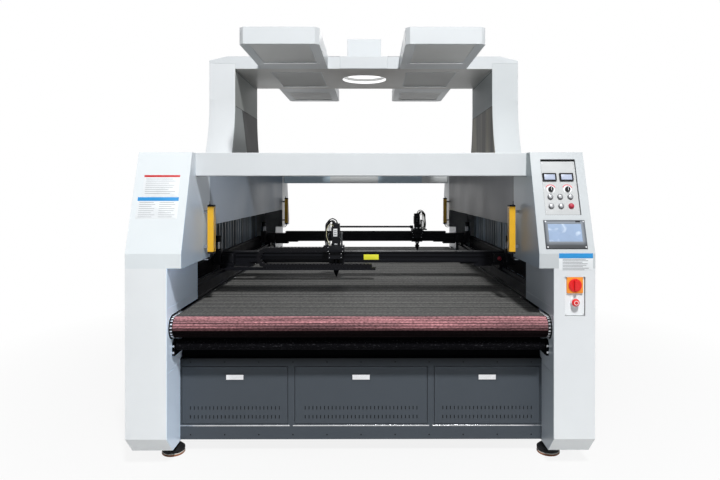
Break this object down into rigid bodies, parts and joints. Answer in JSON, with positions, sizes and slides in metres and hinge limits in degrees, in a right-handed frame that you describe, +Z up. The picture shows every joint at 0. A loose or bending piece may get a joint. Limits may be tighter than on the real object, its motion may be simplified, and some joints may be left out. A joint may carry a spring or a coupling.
{
  "type": "fabric laser cutting machine",
  "caption": "Conveyor-bed laser cutter for cloth: towers with light curtains, travelling gantries with cutting heads, and an arch with lamps and a scanning camera over the bed.",
  "frame": {"origin": "on the floor, below the middle of the machine's footprint", "axes": "+X to the right seen from the feed side, +Y from the feed side to the rear, +Z up"},
  "size_m": [2.45, 3.963, 2.732],
  "materials": {
    "cover_white": "satin",
    "panel_grey": "satin",
    "cabinet_grey": "satin",
    "frame_black": "matte",
    "black_anodised": "satin",
    "black_plastic": "matte",
    "belt_slats": "matte",
    "roller_steel": "brushed",
    "black_rubber": "matte",
    "curtain_yellow": "satin",
    "opal_diffuser": "matte",
    "foot_rubber": "matte",
    "plate_silver": "satin",
    "bezel_grey": "satin",
    "isolator_yellow": "satin",
    "switch_red": "gloss",
    "cap_silver": "polished",
    "tube_glass": "clear",
    "motor_blue": "painted"
  },
  "bodies": {
    "machine": {"base_frame": "frame_black", "levelling_feet": "foot_rubber", "front_tower_left": "cover_white", "front_tower_right": "cover_white", "rear_towers": "cover_white", "side_covers": "cover_white", "side_panels": "panel_grey", "cross_beams": "cover_white", "front_cabinet": "cabinet_grey", "rear_cabinet": "cabinet_grey", "lower_apron": "frame_black", "suction_table": "frame_black", "conveyor_belt": "belt_slats", "belt_chains": "black_plastic", "guide_rails": "black_anodised", "light_curtains": "curtain_yellow", "curtain_fittings": "black_plastic", "arch_legs": "cover_white", "arch_crossbeam": "cover_white", "light_boxes": "cover_white", "light_diffusers": "opal_diffuser", "camera_housing": "cover_white", "scan_camera": "black_anodised", "control_plate": "plate_silver", "panel_fittings": "black_plastic", "touch_panel": "bezel_grey", "switch_plate": "cover_white", "suction_blowers": "black_anodised", "laser_tubes": "tube_glass", "conveyor_motor": "motor_blue", "roller_bearings": "frame_black"},
    "front_roller": {"front_roller": "roller_steel"},
    "rear_roller": {"rear_roller": "roller_steel"},
    "guide_roller": {"guide_roller": "black_rubber"},
    "front_gantry": {"front_gantry_beam": "black_anodised", "front_carriages": "black_anodised", "front_drag_chain": "black_plastic"},
    "front_head": {"front_head": "black_anodised"},
    "front_nozzle": {"front_nozzle": "black_anodised"},
    "rear_gantry": {"rear_gantry_beam": "black_anodised", "rear_carriages": "black_anodised", "rear_drag_chain": "black_plastic"},
    "rear_head": {"rear_head": "black_anodised"},
    "rear_nozzle": {"rear_nozzle": "black_anodised"},
    "door_left": {"door_left": "cabinet_grey"},
    "door_middle": {"door_middle": "cabinet_grey"},
    "door_right": {"door_right": "cabinet_grey"},
    "latch_left": {"latch_left": "cap_silver"},
    "latch_middle": {"latch_middle": "cap_silver"},
    "latch_right": {"latch_right": "cap_silver"},
    "isolator_handle": {"isolator_handle": "switch_red"},
    "stop_button": {"stop_button": "switch_red"},
    "knob_left": {"knob_left": "black_plastic"},
    "knob_right": {"knob_right": "black_plastic"},
    "button_upper_left": {"button_upper_left": "cap_silver"},
    "button_upper_middle": {"button_upper_middle": "cap_silver"},
    "button_upper_right": {"button_upper_right": "cap_silver"},
    "button_lower_left": {"button_lower_left": "cap_silver"},
    "button_lower_middle": {"button_lower_middle": "cap_silver"},
    "button_lower_right": {"button_lower_right": "switch_red"}
  },
  "joints": [
    {"name": "front_roller_spin", "type": "hinge", "parent": "machine", "child": "front_roller", "pos_m": [0, -1.87, 0.7295], "axis": [1, 0, 0], "continuous": true},
    {"name": "rear_roller_spin", "type": "hinge", "parent": "machine", "child": "rear_roller", "pos_m": [0, 1.87, 0.7295], "axis": [1, 0, 0], "continuous": true},
    {"name": "guide_roller_spin", "type": "hinge", "parent": "machine", "child": "guide_roller", "pos_m": [0, -1.85, 0.629], "axis": [1, 0, 0], "continuous": true},
    {"name": "front_gantry_travel", "type": "slide", "parent": "machine", "child": "front_gantry", "axis": [0, 1, 0], "range_m": [-0.7, 0.85]},
    {"name": "rear_gantry_travel", "type": "slide", "parent": "machine", "child": "rear_gantry", "axis": [0, 1, 0], "range_m": [-0.7, 0.01]},
    {"name": "front_head_travel", "type": "slide", "parent": "front_gantry", "child": "front_head", "axis": [1, 0, 0], "range_m": [-0.593, 1.007], "deforming": ["front_drag_chain"]},
    {"name": "front_focus", "type": "slide", "parent": "front_head", "child": "front_nozzle", "axis": [0, 0, 1], "range_m": [-0.01, 0.01]},
    {"name": "rear_head_travel", "type": "slide", "parent": "rear_gantry", "child": "rear_head", "axis": [1, 0, 0], "range_m": [-1.36, 0.24], "deforming": ["rear_drag_chain"]},
    {"name": "rear_focus", "type": "slide", "parent": "rear_head", "child": "rear_nozzle", "axis": [0, 0, 1], "range_m": [-0.01, 0.01]},
    {"name": "door_left_hinge", "type": "hinge", "parent": "machine", "child": "door_left", "pos_m": [-0.7035, -1.745, 0.166], "axis": [1, 0, 0], "range_deg": [0, 90]},
    {"name": "door_middle_hinge", "type": "hinge", "parent": "machine", "child": "door_middle", "pos_m": [0, -1.745, 0.166], "axis": [1, 0, 0], "range_deg": [0, 90]},
    {"name": "door_right_hinge", "type": "hinge", "parent": "machine", "child": "door_right", "pos_m": [0.7035, -1.745, 0.166], "axis": [1, 0, 0], "range_deg": [0, 90]},
    {"name": "latch_left_pull", "type": "hinge", "parent": "door_left", "child": "latch_left", "pos_m": [-0.704, -1.747, 0.428], "axis": [-1, 0, 0], "range_deg": [0, 40], "stiffness_Nm_per_rad": 0.05},
    {"name": "latch_middle_pull", "type": "hinge", "parent": "door_middle", "child": "latch_middle", "pos_m": [0, -1.747, 0.428], "axis": [-1, 0, 0], "range_deg": [0, 40], "stiffness_Nm_per_rad": 0.05},
    {"name": "latch_right_pull", "type": "hinge", "parent": "door_right", "child": "latch_right", "pos_m": [0.704, -1.747, 0.428], "axis": [-1, 0, 0], "range_deg": [0, 40], "stiffness_Nm_per_rad": 0.05},
    {"name": "isolator_turn", "type": "hinge", "parent": "machine", "child": "isolator_handle", "pos_m": [1.119, -1.96, 0.965], "axis": [0, -1, 0], "range_deg": [-90, 0]},
    {"name": "stop_press", "type": "slide", "parent": "machine", "child": "stop_button", "axis": [0, 1, 0], "range_m": [0, 0.005]},
    {"name": "knob_left_turn", "type": "hinge", "parent": "machine", "child": "knob_left", "pos_m": [1.03, -1.84548, 1.46819], "axis": [0, -0.9475, 0.3199], "range_deg": [-135, 135]},
    {"name": "knob_right_turn", "type": "hinge", "parent": "machine", "child": "knob_right", "pos_m": [1.121, -1.84548, 1.46819], "axis": [0, -0.9475, 0.3199], "range_deg": [-135, 135]},
    {"name": "button_upper_left_press", "type": "slide", "parent": "machine", "child": "button_upper_left", "axis": [0, 0.9475, -0.3199], "range_m": [0, 0.004], "stiffness_N_per_m": 150},
    {"name": "button_upper_middle_press", "type": "slide", "parent": "machine", "child": "button_upper_middle", "axis": [0, 0.9475, -0.3199], "range_m": [0, 0.004], "stiffness_N_per_m": 150},
    {"name": "button_upper_right_press", "type": "slide", "parent": "machine", "child": "button_upper_right", "axis": [0, 0.9475, -0.3199], "range_m": [0, 0.004], "stiffness_N_per_m": 150},
    {"name": "button_lower_left_press", "type": "slide", "parent": "machine", "child": "button_lower_left", "axis": [0, 0.9475, -0.3199], "range_m": [0, 0.004], "stiffness_N_per_m": 150},
    {"name": "button_lower_middle_press", "type": "slide", "parent": "machine", "child": "button_lower_middle", "axis": [0, 0.9475, -0.3199], "range_m": [0, 0.004], "stiffness_N_per_m": 150},
    {"name": "button_lower_right_press", "type": "slide", "parent": "machine", "child": "button_lower_right", "axis": [0, 0.9475, -0.3199], "range_m": [0, 0.004], "stiffness_N_per_m": 150}
  ],
  "couplings": [
    {"joint": "rear_roller_spin", "follows": "front_roller_spin", "ratio": 1}
  ]
}
